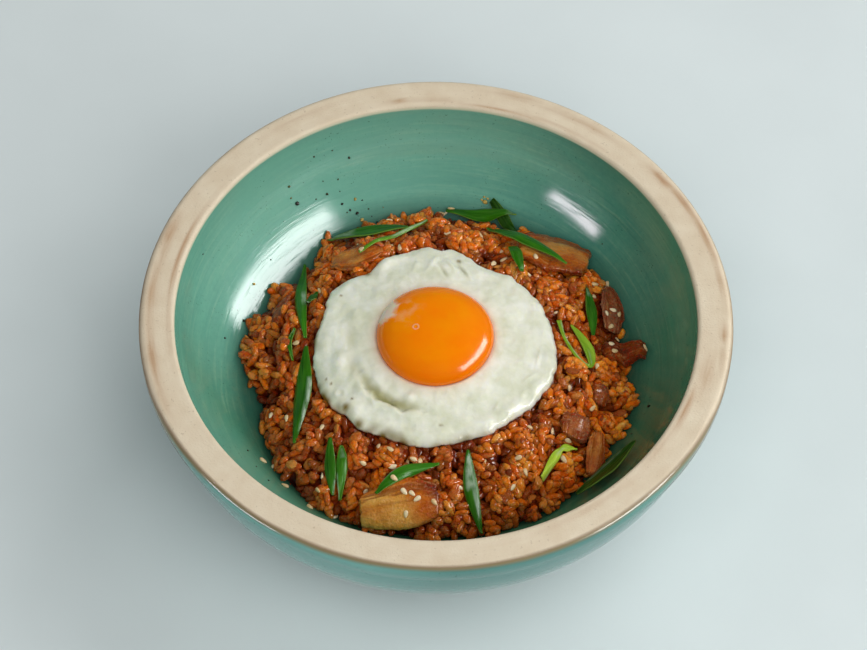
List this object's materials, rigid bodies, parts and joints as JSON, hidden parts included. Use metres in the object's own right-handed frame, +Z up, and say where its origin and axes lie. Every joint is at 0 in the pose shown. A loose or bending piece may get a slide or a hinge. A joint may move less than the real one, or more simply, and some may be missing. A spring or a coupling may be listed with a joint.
{
  "type": "bowl of kimchi fried rice",
  "caption": "Thick-rimmed round stoneware bowl with a low heap of red fried rice, a fried egg on top, cut scallion leaves, kimchi and sesame.",
  "frame": {"origin": "on the bowl's axis, at the bottom of its foot ring", "axes": "+Z up out of the bowl's mouth, -Y towards the viewer of the picture, +X to the viewer's right"},
  "size_m": [0.21, 0.21, 0.072],
  "materials": {
    "glazed_stoneware": "glossy sea-green glaze with fine throwing rings, unglazed buff rim",
    "fried_rice": "oily orange-brown rice grains with cream sesame seeds",
    "egg_white": "moist set egg white",
    "egg_yolk": "soft glossy orange yolk",
    "kimchi": "wet translucent cabbage with red chilli",
    "scallion": "waxy green leaf"
  },
  "bodies": {
    "root": {"egg_white": "egg_white", "egg_yolk": "egg_yolk", "rice": "fried_rice", "bowl": "glazed_stoneware", "kimchi_front_stem": "kimchi", "kimchi_back_stem": "kimchi", "kimchi_right_ribbed": "kimchi", "kimchi_right_stem": "kimchi", "kimchi_right_leaf": "kimchi", "kimchi_back_sheet": "kimchi", "kimchi_right_point": "kimchi", "kimchi_right_small": "kimchi", "kimchi_left_strip": "kimchi", "scallion_back_dark": "scallion", "scallion_back_wall": "scallion", "scallion_back_left": "scallion", "scallion_back_thread": "scallion", "scallion_back_short": "scallion", "scallion_back_bright": "scallion", "scallion_left_far": "scallion", "scallion_left_branch": "scallion", "scallion_left_bit": "scallion", "scallion_left_wide": "scallion", "scallion_pair_under": "scallion", "scallion_pair_over": "scallion", "scallion_front_curved": "scallion", "scallion_front_long": "scallion", "scallion_right_twisted": "scallion", "scallion_right_wall": "scallion", "scallion_right_upright": "scallion", "scallion_right_open": "scallion"}
  },
  "joints": []
}
